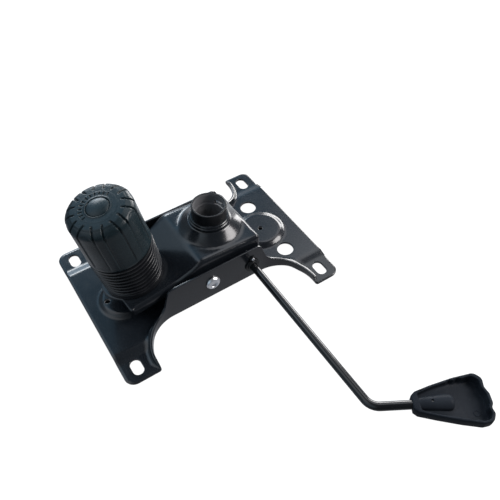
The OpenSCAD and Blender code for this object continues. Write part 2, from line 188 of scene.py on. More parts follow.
M_PLASTIC = surface("satin_plastic", (0.0045, 0.0048, 0.0056), (0.007, 0.0074, 0.0085), (0.34, 0.44), 45.0, 1800.0, 0.00003,
                    spec=0.25, speck=0.04)
M_GRIP = surface("grip_plastic", (0.0092, 0.0110, 0.0142), (0.0140, 0.0166, 0.0206), (0.30, 0.40), 45.0, 1600.0, 0.00003,
                 spec=0.015, speck=0.04)
M_ZINC = surface("zinc_plate", (0.66, 0.67, 0.69), (0.82, 0.83, 0.84), (0.26, 0.38), 60.0, 1400.0, 0.00003, metal=1.0,
                 wear=((0.8, 0.8, 0.8), 0.5))
M_SPRING = surface("spring_steel", (0.30, 0.31, 0.33), (0.46, 0.47, 0.48), (0.26, 0.38), 70.0, 1400.0, 0.00003, metal=1.0)
M_RUBBER = surface("stop_rubber", (0.010, 0.010, 0.0105), (0.017, 0.017, 0.017), (0.62, 0.78), 50.0, 1300.0, 0.00006)


# ------------------------------------------------------------ mesh helpers
def piece(name, verts, faces, body, nodes, mat, slot, sharp=42.0, clean=True, cuts=(), weighted=True):
    """A mesh in millimetres turned into a finished object that stands for CAD nodes and rides on a body."""
    me = bpy.data.meshes.new(name)
    me.from_pydata([tuple(c * MM for c in v) for v in verts], [], [tuple(int(i) for i in f) for f in faces])
    ob = bpy.data.objects.new(name, me)
    SCENE.collection.objects.link(ob)
    bm = bmesh.new()
    bm.from_mesh(me)
    if clean:
        bmesh.ops.remove_doubles(bm, verts=bm.verts, dist=2e-6)
        bmesh.ops.dissolve_degenerate(bm, edges=bm.edges, dist=1e-6)
    bmesh.ops.recalc_face_normals(bm, faces=bm.faces)
    bm.to_mesh(me)
    bm.free()
    for c in cuts:
        mod = ob.modifiers.new("cut", "BOOLEAN")
        mod.operation = "DIFFERENCE"
        mod.solver = "EXACT"
        mod.object = c
    if cuts:
        bake(ob)
        for c in cuts:
            bpy.data.objects.remove(c)
    me = ob.data
    me.polygons.foreach_set("use_smooth", [True] * len(me.polygons))
    me.set_sharp_from_angle(angle=math.radians(sharp))
    if weighted:
        mod = ob.modifiers.new("weighted", "WEIGHTED_NORMAL")
        mod.mode = "FACE_AREA_WITH_ANGLE"
        mod.weight = 60
        mod.keep_sharp = True
        bake(ob)
    ob.data.materials.clear()
    ob.data.materials.append(mat)
    if body:
        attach(ob, body)
        if nodes:
            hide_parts(*nodes)
    return ob


def bake(ob):
    bpy.context.view_layer.update()
    dg = bpy.context.evaluated_depsgraph_get()
    me = bpy.data.meshes.new_from_object(ob.evaluated_get(dg), preserve_all_data_layers=True, depsgraph=dg)
    old = ob.data
    ob.modifiers.clear()
    ob.data = me
    bpy.data.meshes.remove(old)


def cutter(verts, faces):
    """A closed mesh in millimetres that other pieces are cut with."""
    me = bpy.data.meshes.new("cutter")
    me.from_pydata([tuple(c * MM for c in v) for v in verts], [], faces)
    ob = bpy.data.objects.new("cutter", me)
    SCENE.collection.objects.link(ob)
    bm = bmesh.new()
    bm.from_mesh(me)
    bmesh.ops.recalc_face_normals(bm, faces=bm.faces)
    bm.to_mesh(me)
    bm.free()
    return ob


def rod_cut(a, b, r, n=48):
    a, b = Vector(a), Vector(b)
    d = (b - a).normalized()
    s = d.orthogonal().normalized()
    t = d.cross(s)
    ring = [s * (r * math.cos(2 * math.pi * k / n)) + t * (r * math.sin(2 * math.pi * k / n)) for k in range(n)]
    v = [a + q for q in ring] + [b + q for q in ring]
    f = [(k, (k + 1) % n, n + (k + 1) % n, n + k) for k in range(n)] + [tuple(range(n)), tuple(range(n, 2 * n))]
    return cutter(v, f)


def box_cut(lo, hi, frame_m=None):
    v = [Vector((x, y, z)) for x in (lo[0], hi[0]) for y in (lo[1], hi[1]) for z in (lo[2], hi[2])]
    if frame_m is not None:
        v = [frame_m @ q for q in v]
    f = [(0, 1, 3, 2), (4, 6, 7, 5), (0, 4, 5, 1), (2, 3, 7, 6), (0, 2, 6, 4), (1, 5, 7, 3)]
    return cutter(v, f)


def smooth(a, b, x):
    t = np.clip((np.asarray(x, float) - a) / (b - a), 0, 1)
    return t * t * (3 - 2 * t)


def smin(a, b, k):
    h = np.clip(0.5 + 0.5 * (b - a) / k, 0, 1)
    return b * (1 - h) + a * h - k * h * (1 - h)


def smax(a, b, k):
    return -smin(-a, -b, k)


def curve(xs, ys):
    """A smooth monotone curve through points."""
    xs, ys = np.array(xs, float), np.array(ys, float)
    h = np.diff(xs)
    d = np.diff(ys) / h
    m = np.zeros(len(xs))
    m[0], m[-1] = d[0], d[-1]
    for i in range(1, len(xs) - 1):
        if d[i - 1] * d[i] > 0:
            w1, w2 = 2 * h[i] + h[i - 1], h[i] + 2 * h[i - 1]
            m[i] = (w1 + w2) / (w1 / d[i - 1] + w2 / d[i])

    def f(x):
        x = np.clip(np.asarray(x, float), xs[0], xs[-1])
        i = np.clip(np.searchsorted(xs, x, side="right") - 1, 0, len(xs) - 2)
        t = (x - xs[i]) / h[i]
        return ((1 + 2 * t) * (1 - t) ** 2 * ys[i] + t * (1 - t) ** 2 * h[i] * m[i]
                + t * t * (3 - 2 * t) * ys[i + 1] + t * t * (t - 1) * h[i] * m[i + 1])
    return f


def round_poly(corners, step=2.0, arc=1.2):
    """A closed outline from (x, y, radius) corners. Gives its points and outward directions."""
    n = len(corners)
    P = [np.array(c[:2], float) for c in corners]
    area = sum(P[i][0] * P[(i + 1) % n][1] - P[(i + 1) % n][0] * P[i][1] for i in range(n))
    if area < 0:
        corners = corners[::-1]
        P = P[::-1]
    runs = []
    for i in range(n):
        a, b, c = P[i - 1], P[i], P[(i + 1) % n]
        u, w = (b - a) / np.linalg.norm(b - a), (c - b) / np.linalg.norm(c - b)
        turn = math.atan2(u[0] * w[1] - u[1] * w[0], u @ w)
        r = corners[i][2]
        tl = r * abs(math.tan(turn / 2))
        runs.append((b - u * tl, b + w * tl, u, w, turn, r))
    pos, nrm = [], []
    for i in range(n):
        s, e, u, w, turn, r = runs[i]
        k = max(2, int(math.ceil(abs(turn) * r / arc))) if r > 0 else 1
        k = max(k, int(math.ceil(abs(turn) / math.radians(15))))
        sign = 1 if turn > 0 else -1
        n0 = np.array([u[1], -u[0]])
        centre = s - sign * n0 * r
        for j in range(k + 1):
            ang = turn * j / k
            nn = np.array([n0[0] * math.cos(ang) - n0[1] * math.sin(ang), n0[0] * math.sin(ang) + n0[1] * math.cos(ang)])
            pos.append(centre + sign * nn * r if r > 0 else s)
            nrm.append(nn)
        nxt = runs[(i + 1) % n][0]
        length = np.linalg.norm(nxt - e)
        m = int(length / step)
        for j in range(1, m):
            pos.append(e + (nxt - e) * j / m)
            nrm.append(np.array([w[1], -w[0]]))
    return np.array(pos), np.array(nrm)


def inside(poly, pts):
    x, y = pts[:, 0], pts[:, 1]
    res = np.zeros(len(pts), bool)
    a, b = poly, np.roll(poly, -1, axis=0)
    for (x0, y0), (x1, y1) in zip(a, b):
        if y0 == y1:
            continue
        hit = ((y0 > y) != (y1 > y)) & (x < (x1 - x0) * (y - y0) / (y1 - y0) + x0)
        res ^= hit
    return res


def fill(rings, extra):
    """Triangles between an outer ring and hole rings. Returns points, triangles and each ring's point numbers."""
    verts, edges, spans = [], [], []
    for r in rings:
        a, n = len(verts), len(r)
        verts += [Vector((float(p[0]), float(p[1]))) for p in r]
        edges += [(a + i, a + (i + 1) % n) for i in range(n)]
        spans.append((a, n))
    verts += [Vector((float(p[0]), float(p[1]))) for p in extra]
    vo, _, fo, ov, _, _ = delaunay_2d_cdt(verts, edges, [], 0, 1e-6)
    where = {}
    for i, src in enumerate(ov):
        for s in src:
            where[s] = i
    pts = np.array([(p.x, p.y) for p in vo])
    tri = np.array([f for f in fo if len(f) == 3], int)
    mid = pts[tri].mean(1)
    keep = inside(np.array(rings[0]), mid)
    for r in rings[1:]:
        keep &= ~inside(np.array(r), mid)
    return pts, tri[keep], [[where[a + i] for i in range(n)] for a, n in spans]


def grid(rings, step, gap, skip=None):
    """Points on an even grid inside the first ring and outside the others, clear of their lines."""
    o = np.array(rings[0])
    xs = np.arange(o[:, 0].min() + step / 2, o[:, 0].max(), step)
    ys = np.arange(o[:, 1].min() + step / 2, o[:, 1].max(), step * 0.866)
    pts = np.array([(x + (step / 2 if j % 2 else 0), y) for j, y in enumerate(ys) for x in xs])
    ok = inside(o, pts)
    for r in rings[1:]:
        ok &= ~inside(np.array(r), pts)
    pts = pts[ok]
    every = np.concatenate([dense(np.array(r), 0.7) for r in rings])
    far = np.ones(len(pts), bool)
    for i in range(0, len(pts), 400):
        d = ((pts[i:i + 400, None, :] - every[None]) ** 2).sum(2).min(1)
        far[i:i + 400] = d > gap * gap
    pts = pts[far]
    if skip is not None:
        pts = pts[~skip(pts)]
    return pts


def dense(r, step):
    out = []
    for a, b in zip(r, np.roll(r, -1, axis=0)):
        k = max(1, int(np.linalg.norm(b - a) / step))
        out += [a + (b - a) * j / k for j in range(k)]
    return np.array(out)


def sheet(loops, top, bottom, step, extra=None, skip=None):
    """A closed sheet. Each loop is (points, outward, profiles): a profile lists (depth inwards, height rule) from the
    sheet's upper face round the edge to its lower face. top and bottom give the heights of the faces."""
    rings = [np.array([p - n * pr[0][0] for p, n, pr in zip(*lp)]) for lp in loops]
    pts = grid(rings, step, step * 0.62, skip)
    if extra is not None:
        pts = np.concatenate([pts, extra])
    xy, tri, ids = fill(rings, pts)
    zt = top(xy[:, 0], xy[:, 1])
    zb = bottom(xy[:, 0], xy[:, 1])
    n = len(xy)
    verts = [(x, y, z) for (x, y), z in zip(xy, zt)] + [(x, y, z) for (x, y), z in zip(xy, zb)]
    faces = [tuple(t) for t in tri] + [tuple(n + i for i in t[::-1]) for t in tri]
    for (pos, nrm, prof), ring in zip(loops, ids):
        rows = [ring]
        for k in range(1, len(prof[0]) - 1):
            start = len(verts)
            for p, q, pr in zip(pos, nrm, prof):
                d, z = pr[k]
                x, y = p - q * d
                verts.append((x, y, z(x, y) if callable(z) else z))
            rows.append(list(range(start, start + len(pos))))
        rows.append([n + i for i in ring])
        m = len(pos)
        for a, b in zip(rows, rows[1:]):
            for i in range(m):
                j = (i + 1) % m
                faces.append((a[i], a[j], b[j], b[i]))
    return verts, faces


def cut_edge(pos, top, bottom, r=0.55):
    """Profiles for a plain cut edge with small round corners."""
    up_ = lambda dz: (lambda x, y: float(top(x, y)) - dz)
    dn_ = lambda dz: (lambda x, y: float(bottom(x, y)) + dz)
    one = [(r, up_(0)), (0.45 * r, up_(0.1 * r)), (0.1 * r, up_(0.45 * r)), (0, up_(r)), (0, dn_(r)), (0.1 * r, dn_(0.45 * r)),
           (0.45 * r, dn_(0.1 * r)), (r, dn_(0))]
    return [one] * len(pos)


def circle(cx, cy, r, n=48):
    """A hole's edge: points and directions out of the sheet, towards the middle."""
    a = np.arange(n) * 2 * math.pi / n
    pos = np.stack([cx + r * np.cos(a), cy + r * np.sin(a)], 1)
    return pos, np.stack([-np.cos(a), -np.sin(a)], 1)


def slot_hole(cx, cy, length, width):
    pos, nrm = round_poly([(cx - length / 2, cy - width / 2, width / 2 - 0.01), (cx + length / 2, cy - width / 2, width / 2 - 0.01),
                           (cx + length / 2, cy + width / 2, width / 2 - 0.01), (cx - length / 2, cy + width / 2, width / 2 - 0.01)], 1.5, 0.7)
    return pos, -nrm


def revolve(profile, n=96, frame_m=None, closed=True):
    """A lathe shape about Z from (r, z) points."""
    verts, faces, rows = [], [], []
    for r, z in profile:
        if r < 1e-6:
            rows.append([len(verts)] * n)
            verts.append(Vector((0, 0, z)))
        else:
            rows.append(list(range(len(verts), len(verts) + n)))
            verts += [Vector((r * math.cos(2 * math.pi * k / n), r * math.sin(2 * math.pi * k / n), z)) for k in range(n)]
    pairs = list(zip(rows, rows[1:] + ([rows[0]] if closed else [])))
    for a, b in pairs:
        for k in range(n):
            j = (k + 1) % n
            f = []
            for i in (a[k], a[j], b[j], b[k]):
                if i not in f:
                    f.append(i)
            if len(f) > 2:
                faces.append(tuple(f))
    if frame_m is not None:
        verts = [frame_m @ v for v in verts]
    return verts, faces


def fillet(profile, radii, seg=5):
    """Rounds the corners of an (r, z) profile: radii is one number or a list."""
    n = len(profile)
    if not hasattr(radii, "__len__"):
        radii = [radii] * n
    out = []
    for i in range(n):
        a, b, c = (Vector(profile[(i + k) % n]) for k in (-1, 0, 1))
        r = radii[i]
        u, w = (a - b), (c - b)
        if r <= 0 or u.length < 1e-6 or w.length < 1e-6:
            out.append(tuple(b))
            continue
        ang = u.angle(w)
        if ang > math.radians(172):
            out.append(tuple(b))
            continue
        tl = min(r / math.tan(ang / 2), 0.48 * u.length, 0.48 * w.length)
        rr = tl * math.tan(ang / 2)
        s, e = b + u.normalized() * tl, b + w.normalized() * tl
        mid = (u.normalized() + w.normalized()).normalized()
        centre = b + mid * (rr / math.sin(ang / 2))
        v0, v1 = s - centre, e - centre
        span = v0.angle(v1) if rr > 1e-9 else 0
        for j in range(seg + 1):
            t = j / seg
            if span < 1e-6:
                out.append(tuple(b))
                break
            p = centre + (v0 * math.sin((1 - t) * span) + v1 * math.sin(t * span)) / math.sin(span)
            out.append(tuple(p))
    return out


def sweep(points, r, n=24, ref=Vector((0, 0, 1)), caps=True):
    """A round bar along points, with slightly rounded ends."""
    pts = [Vector(p) for p in points]
    rad = [r] * len(pts)
    if caps:
        t0 = (pts[1] - pts[0]).normalized()
        t1 = (pts[-1] - pts[-2]).normalized()
        e = 0.12 * r
        pts = [pts[0], pts[0] + t0 * 0.3 * e, pts[0] + t0 * e] + pts[1:-1] + [pts[-1] - t1 * e, pts[-1] - t1 * 0.3 * e, pts[-1]]
        rad = [r - e, r - 0.3 * e, r] + [r] * (len(pts) - 6) + [r, r - 0.3 * e, r - e]
    verts, faces = [], []
    m = len(pts)
    for i in range(m):
        t = (pts[min(i + 1, m - 1)] - pts[max(i - 1, 0)]).normalized()
        s = t.cross(ref).normalized()
        q = t.cross(s)
        for k in range(n):
            a = 2 * math.pi * k / n
            verts.append(pts[i] + (s * math.cos(a) + q * math.sin(a)) * rad[i])
    for i in range(m - 1):
        for k in range(n):
            j = (k + 1) % n
            faces.append((i * n + k, i * n + j, (i + 1) * n + j, (i + 1) * n + k))
    faces.append(tuple(range(n)))
    faces.append(tuple(range((m - 1) * n, m * n)))
    return verts, faces


def join(*parts):
    verts, faces = [], []
    for v, f in parts:
        n = len(verts)
        verts += list(v)
        faces += [tuple(n + i for i in q) for q in f]
    return verts, faces


KNOB = Matrix.Translation((0, -65.1, 34)) @ Matrix.Rotation(math.radians(8.4), 4, "X")
SOCKET = Matrix.Translation((0, 22, 78.4)) @ Matrix.Rotation(math.radians(-3), 4, "X")
GRIP = Matrix.Translation((226.8, 41.2, 19.9)) @ Matrix.Rotation(math.radians(60), 4, "Z")
LEVER_Y, LEVER_Z = 41.2, 19.9
PIVOT_Y, PIVOT_Z = -4.0, 23.8

# -------------------------------------------------------------- seat plate
T = 2.5
WALL = 44.8


def plate_top(x, y):
    x, y = np.asarray(x, float), np.asarray(y, float)
    z = 2.5 + 3.0 * (1 - smooth(54.0, 66.5, np.abs(x)))
    for s in (1, -1):
        rho = np.hypot(x, y - 80.5 * s)
        z = z + 3.5 * (1 - smooth(20.0, 26.9, rho))
    return z


def plate_bottom(x, y):
    return plate_top(x, y) - T


lip_rear = curve([-8, -4, 0, 1.5, 4, 7, 11.5, 20.5, 30.5, 38], [1, 0.995, 0.965, 0.90, 0.70, 0.445, 0.30, 0.205, 0.105, 0.035])


def lip_height(x, y):
    """Height of the wall's or lip's rim over the seat face at a waist point."""
    h = 42.0 if x > 0 else 46.2
    t = max(y - 51.5, -49.5 - y)
    if t > -8:
        rim = 5.5 + float(lip_rear(t)) * (h - 5.5)
    else:
        rim = h
    edge = 82.8 if y > 0 else 80.8
    if abs(x) > edge:
        rim = rim + (2.5 - rim) * float(smooth(edge, edge + 9.0, abs(x)))
    return rim


plate_pos, plate_nrm = round_poly(
    [(90, -119, 10), (90, -85.5, 2.5), (WALL, -85.5, 35.9), (WALL, 89.5, 37.9), (90, 89.5, 2.5), (90, 119, 10),
     (-90, 119, 10), (-90, 89.5, 2.5), (-WALL, 89.5, 37.9), (-WALL, -85.5, 35.9), (-90, -85.5, 2.5), (-90, -119, 10)], 2.5, 1.3)


foot_rear = curve([44, 46, 52, 60, 67, 77, 92], [5.0, 5.0, 6.0, 6.8, 6.0, 4.0, 3.4])
foot_front = curve([44, 46, 50, 58, 66, 72, 92], [5.0, 5.0, 6.5, 8.5, 7.0, 5.5, 5.0])


def plate_profile(p, n):
    x, y = p
    ax = abs(x)
    waist = -85.6 < y < 89.6 and ax < 89.7
    r = 0.55
    if not waist:
        rise, depth, a = 0.0, r, 0.0
    else:
        rise = max(0.0, lip_height(x, y) - float(plate_top(x, y)))
        w = 1 - float(smooth(81.0, 89.6, ax))
        a = float((foot_rear if y > 0 else foot_front)(ax)) if x > 0 else 2.4
        depth = r + (T + a - r) * w
    rin = min(0.8, rise)
    b = min(rise - rin, 5.0)
    z_up = lambda dz: (lambda u, v: float(plate_top(u, v)) + dz)
    z_rim = lambda dz: (lambda u, v: float(plate_top(x, y)) + rise - dz)
    prof = [(depth, z_up(0))]
    tt = min(T, depth)
    for k in range(1, 7):
        phi = math.pi / 2 * k / 6
        prof.append((tt + (depth - tt) * (1 - math.sin(phi)), z_up(b * (1 - math.cos(phi)))))
    prof.append((tt, z_up(b + 0.5 * (rise - rin - b))))
    prof.append((tt, z_rim(rin)))
    prof.append((tt - 0.29 * rin, z_rim(0.29 * rin)))
    prof.append((max(tt - rin, r * 1.02), z_rim(0)))
    prof.append((r, z_rim(0)))
    prof.append((0.29 * r, z_rim(0.29 * r)))
    prof.append((0, z_rim(r)))
    low = float(plate_bottom(x, y))
    high = float(plate_top(x, y)) + rise
    for f in (0.75, 0.5, 0.25):
        zz = low + 0.4 + (high - r - low - 0.4) * f
        prof.append((0, zz))
    prof.append((0, low + 0.4))
    prof.append((0.12, low + 0.12))
    prof.append((0.4, low))
    prof.append((depth, lambda u, v: float(plate_bottom(u, v))))
    return prof


plate_loops = [(plate_pos, plate_nrm, [plate_profile(p, n) for p, n in zip(plate_pos, plate_nrm)])]
for sx in (1, -1):
    for sy in (1, -1):
        hp, hn = slot_hole(75 * sx, 104 * sy, 17, 10.5)
        plate_loops.append((hp, hn, cut_edge(hp, plate_top, plate_bottom)))
    hp, hn = circle(36.3 * sx, 88, 8.5, 56)
    plate_loops.append((hp, hn, cut_edge(hp, plate_top, plate_bottom)))
for sy in (1, -1):
    hp, hn = circle(0, 80.5 * sy, 2.7, 32)
    plate_loops.append((hp, hn, cut_edge(hp, plate_top, plate_bottom, 0.2)))
hp, hn = circle(-2.8, -97.3, 2.8, 32)
plate_loops.append((hp, hn, cut_edge(hp, plate_top, plate_bottom, 0.4)))
v, f = sheet(plate_loops, plate_top, plate_bottom, 1.9)
seat_plate = piece("seat_plate_skin", v, f, "seat", ["seat_plate"], M_STEEL, "black_steel", cuts=[
    rod_cut((38, PIVOT_Y, PIVOT_Z), (50, PIVOT_Y, PIVOT_Z), 6.02), rod_cut((-38, PIVOT_Y, PIVOT_Z), (-50, PIVOT_Y, PIVOT_Z), 6.02),
    rod_cut((38, LEVER_Y, LEVER_Z), (50, LEVER_Y, LEVER_Z), 7.02), rod_cut((-38, LEVER_Y, LEVER_Z), (-50, LEVER_Y, LEVER_Z), 7.02)])

# ----------------------------------------------------------------- carrier
CT = 3.0
flare = curve([17.0, 20.3, 21.2, 23, 26.5, 29.5, 31.2, 32.4, 33.6, 34.6], [9.0, 9.0, 8.7, 7.0, 4.0, 1.75, 0.72, 0.24, 0.04, 0.0])
TAN3, TAN8 = math.tan(math.radians(3)), math.tan(math.radians(8.4))


def carrier_top(x, y):
    x, y = np.asarray(x, float), np.asarray(y, float)
    face = 53 - TAN3 * y
    arm = 34 + TAN8 * (y + 65.1)
    slope = 38.0 + (y + 38) * (53.58 - 38.0) / 27.0
    z = smax(smin(face, slope, 2.2), arm, 2.2)
    rho = np.hypot(x, (y - 21.0) / math.cos(math.radians(3)))
    return z + flare(rho)


def carrier_bottom(x, y):
    return carrier_top(x, y) - CT


wall_low = curve([-100, -60, -48, -46, -44, -22, -15, 7, 13, 27, 33, 60], [18.85, 24.5, 26.2, 25.9, 25, 14.8, 13, 13, 14.05, 18.95, 20.1, 21])
car_pos, car_nrm = round_poly(
    [(4.5, -98, 9), (9.5, -96, 9), (14.5, -92.6, 9), (20.2, -87.4, 2.5), (37, -86.2, 2.5), (37, -38, 12), (40, -20, 12), (40, 54.5, 3.4),
     (-40, 54.5, 11.0), (-40, -20, 12), (-37, -38, 12), (-37, -86.2, 2.5), (-20.2, -87.4, 2.5), (-14.5, -92.6, 9), (-9.5, -96, 9), (-4.5, -98, 9)], 2.0, 1.0)


def carrier_profile(p, n):
    x, y = p
    w = float(smooth(-85.2, -82.0, y))
    R = 1.6 + 2.4 * w
    far = float(smooth(0.3, 0.8, -n[0])) if x < 0 else 0.0
    rear = float(smooth(0.0, 0.5, n[1])) if y > 40 else 0.0
    far = max(far, rear * float(smooth(-10.0, 25.0, -x))) * float(smooth(-36.0, -22.0, y))
    R = R + 0.9 * rear * (1 - far) + 3.6 * far
    near = float(smooth(24.0, 37.0, x)) * float(smooth(38.0, 50.0, y))
    R = R + (3.3 - R) * near
    fall = 1.5 * rear * (1 - far)
    top = float(carrier_top(x, y))
    prof = []
    rr = 1.0 + (R - 1.0) * w
    z_up = lambda dz: (lambda u, v: float(carrier_top(u, v)) - dz)
    prof.append((R, z_up(0)))
    for k in range(1, 6):
        phi = math.pi / 2 * k / 6
        prof.append((rr * (1 - math.sin(phi)), z_up((rr + fall) * (1 - math.cos(phi)))))
    rr = rr + fall
    prof.append((0, top - rr))
    if y > 49 and n[1] > 0.02:
        side = float(wall_low(y))
        low = side + (30 - side) * float(smooth(0.02, 0.5, n[1]))
    else:
        low = float(wall_low(y))
    if y < -85.3:
        low = top - CT
    low = min(low, top - CT)
    deep = top - low
    for g in (0.3, 0.65):
        prof.append((0, (top - rr) + (low + 0.5 - top + rr) * g))
    prof.append((0, low + 0.5))
    prof.append((0.15, low + 0.15))
    prof.append((0.5, low))
    if deep > 5:
        prof.append((CT - 0.5, low))
        prof.append((CT - 0.15, low + 0.15))
        prof.append((CT, low + 0.5))
        prof.append((CT, (low + 0.5 + top - CT - 1.0) / 2))
        prof.append((CT, top - CT - 1.0))
        prof.append((CT + 0.3, top - CT - 0.3))
    else:
        for g in (0.6, 0.75, 0.9, 1.05, 1.2, 1.35):
            prof.append((min(g, R - 0.05), low))
    prof.append((R, lambda u, v: float(carrier_bottom(u, v))))
    return prof


car_loops = [(car_pos, car_nrm, [carrier_profile(p, n) for p, n in zip(car_pos, car_nrm)])]
hp, hn = circle(0, 21.05, 17.4, 72)
car_loops.append((hp, hn, cut_edge(hp, carrier_top, carrier_bottom, 0.3)))
hp, hn = circle(0, -65.1, 8.0, 40)
car_loops.append((hp, hn, cut_edge(hp, carrier_top, carrier_bottom, 0.3)))
rings_extra = np.array([(r * math.cos(a + 0.03 * i), 21.0 + r * math.sin(a + 0.03 * i)) for i, r in enumerate(
    [18.6, 19.6, 20.2, 20.7, 21.2, 21.8, 22.6, 23.5, 24.5, 25.6, 26.8, 28.0, 29.1, 30.0, 30.8, 31.5, 32.1])
    for a in np.arange(120) * 2 * math.pi / 120])
v, f = sheet(car_loops, carrier_top, carrier_bottom, 1.7, rings_extra,
             lambda q: np.hypot(q[:, 0], q[:, 1] - 21.0) < 33.2)
rod_slots = []
for s in (1, -1):
    ring = [(LEVER_Y - 5.2, -5), (LEVER_Y - 5.2, LEVER_Z + 9.4)] + [
        (LEVER_Y - 0.1 - 5.1 * math.cos(a), LEVER_Z + 9.4 + 5.1 * math.sin(a)) for a in np.linspace(0.15, math.pi - 0.15, 14)] + [
        (LEVER_Y + 5.0, LEVER_Z + 9.4), (LEVER_Y + 5.0, -5)]
    m = len(ring)
    vv = [(s * 33, a, b) for a, b in ring] + [(s * 45, a, b) for a, b in ring]
    ff = [(i, (i + 1) % m, m + (i + 1) % m, m + i) for i in range(m)] + [tuple(range(m)), tuple(range(m, 2 * m))]
    rod_slots.append(cutter(vv, ff))
carrier = piece("carrier_shell", v, f, "carrier", ["carrier_housing"], M_STEEL, "black_steel", cuts=rod_slots + [
    rod_cut((34, PIVOT_Y, PIVOT_Z), (46, PIVOT_Y, PIVOT_Z), 8.02), rod_cut((-34, PIVOT_Y, PIVOT_Z), (-46, PIVOT_Y, PIVOT_Z), 8.02)])

# ---------------------------------------------------------- gas-lift socket
tube = fillet([(14.0, -43), (17.3, -43), (17.3, 0), (15.3, 0), (14.75, -1.6), (14.7, -11), (14.0, -13)],
              [0.4, 0.5, 0.75, 0.75, 2, 1.5, 1.0], 6)
v, f = revolve(tube, 128, SOCKET)
window = SOCKET @ Matrix.Rotation(math.radians(104), 4, "Z")
socket = piece("socket_tube", v, f, "carrier", ["gas_lift_socket"], M_TUBE, "black_steel",
               cuts=[box_cut((5, -6.4, -12), (22, 6.4, -6.4), window)])
ring = fillet([(17.32, -17.4), (20.6, -17.4), (20.6, -14.9), (19.5, -14.3), (19.5, -13.0), (18.7, -12.2), (17.32, -12.2)],
              [0, 0.6, 0.9, 0.5, 0.6, 0.7, 0], 5)
collar = piece("socket_collar_ring", *revolve(ring, 128, SOCKET), "carrier", ["socket_collar"], M_STEEL, "black_steel")

# --------------------------------------------------------------- the sleeve
def rib_radius(t):
    """The ribbed sleeve's outer radius at a height along the knob's axis."""
    i = np.clip(np.round((t - 9.5) / 5), 0, 7)
    d = np.abs(t - 9.5 - 5 * i)
    tip = 30.2 + 0.8 * i / 7
    return 27.7 + (tip - 27.7) * (1 - smooth(0.5, 1.6, d))


def boot(name, t0, t1, body, start):
    prof = list(start)
    for t in np.arange(max(t0, 7.2), t1 - 0.05, 0.25):
        prof.append((float(rib_radius(t)), float(t)))
    prof += [(float(rib_radius(t1)), t1), (27.2, t1)]
    v, f = revolve(prof, 144, KNOB)
    v = [Vector((q.x, q.y, max(q.z, float(carrier_top(q.x, q.y)) + 0.12))) if q.y > -45 and q.z < 48 else q for q in v]
    return piece(name, v, f, body, ["spring_sleeve"], M_SLEEVE, "black_plastic", sharp=60)


boot_low = boot("ribbed_sleeve_lower", 0, 32, "carrier",
                [(27.2, 2), (20, 2), (20, 0.2), (29.3, 0.2), (29.7, 0.5), (29.8, 1.2), (29.8, 6.0), (29.6, 6.5), (29.2, 6.9)])
boot_high = boot("ribbed_sleeve_upper", 32, 47.4, "bolt", [(27.2, 32)])

# ----------------------------------------------------------------- the knob
knob_rows = [(30.7, 48), (31.0, 48.5), (31.0, 50.5), (31.0, 54), (30.95, 62), (30.9, 70), (30.8, 78), (30.75, 84)]
for tt in np.linspace(86.5, 91, 6):
    knob_rows.append((30.68, tt))
centre_r, centre_t = 22.6, 92.3
for a in np.linspace(3, 72, 22):
    an = math.radians(a)
    knob_rows.append((centre_r + 8.1 * math.cos(an), centre_t + 7.6 * math.sin(an)))
for r in np.linspace(24.3, 17.4, 11):
    knob_rows.append((r, 100.72 - 0.0062 * (r - 17) ** 2 - 0.045 * max(0, r - 22.5) ** 2 * 0.3))
for r in np.linspace(17.2, 12.9, 14):
    knob_rows.append((r, 100.78))
knob_rows += [(12.3, 100.8), (11.9, 100.95), (11.6, 101.15), (11.2, 101.2), (10.85, 101.1), (10.6, 100.8), (10.5, 100.2), (10.5, 97.6),
              (6.6, 97.6), (6.6, 80.6), (13.5, 80.6), (13.5, 91), (24, 91), (26.6, 87), (27.4, 70), (27.4, 48.6), (27.8, 48)]
NK = 640
kv, kf = [], []
theta = np.arange(NK) * 2 * math.pi / NK
group = (np.degrees(theta) - 18.5) % 45
group = np.minimum(group, 45 - group)
ticks = np.abs(((np.degrees(theta) + 7.5) % 15) - 7.5)
ticks = np.where((np.degrees(theta) > 113) & (np.degrees(theta) < 287), ticks, 99.0)
for i, (r, t) in enumerate(knob_rows):
    outer = i < 8 + 6 + 22 + 11 + 14
    rr = np.full(NK, r)
    tt = np.full(NK, t)
    if outer:
        arc = r * np.sin(np.radians(group)) - 4.5
        g = np.exp(-(arc / 0.85) ** 4)
        on_shoulder = float(smooth(20.0, 21.4, r)) * float(smooth(88.0, 93.0, t))
        on_side = float(smooth(50, 53, t)) * (1 - float(smooth(88.0, 93.0, t)))
        depth = g * (1.7 * on_shoulder + 0.8 * on_side)
        edge = np.degrees(np.arcsin(4.5 / r))
        wide = np.clip((group - edge) / (22.5 - edge), 0, 1)
        across = np.abs(1 - wide)
        arch_t = 97.2 - 5.5 * across ** 2.6
        sunk = 0.5 * smooth(0, 1, (arch_t - t) / 1.3 + 0.5) * smooth(0.03, 0.16, wide) * float(smooth(23.5, 27, r)) * float(smooth(49, 52, t))
        depth = depth + sunk
        ang = math.atan2(max(t - centre_t, 0.0), max(r - centre_r, 1e-6)) if t > centre_t else 0.0
        if r < 24.3 and t > 99:
            ang = math.pi / 2
        rr = rr - depth * math.cos(ang)
        tt = tt - depth * math.sin(ang)
        if 13.2 < r < 17.2:
            tick = np.exp(-((ticks * math.pi / 180 * r) / 0.6) ** 4)
            tt = tt - 1.0 * tick * float(smooth(13.3, 13.8, r)) * float(1 - smooth(16.6, 17.1, r))
    kv += [KNOB @ Vector((a * math.cos(h), a * math.sin(h), b)) for a, b, h in zip(rr, tt, theta)]
nrow = len(knob_rows)
for i in range(nrow):
    a, b = i * NK, ((i + 1) % nrow) * NK
    for k in range(NK):
        j = (k + 1) % NK
        kf.append((a + k, a + j, b + j, b + k))
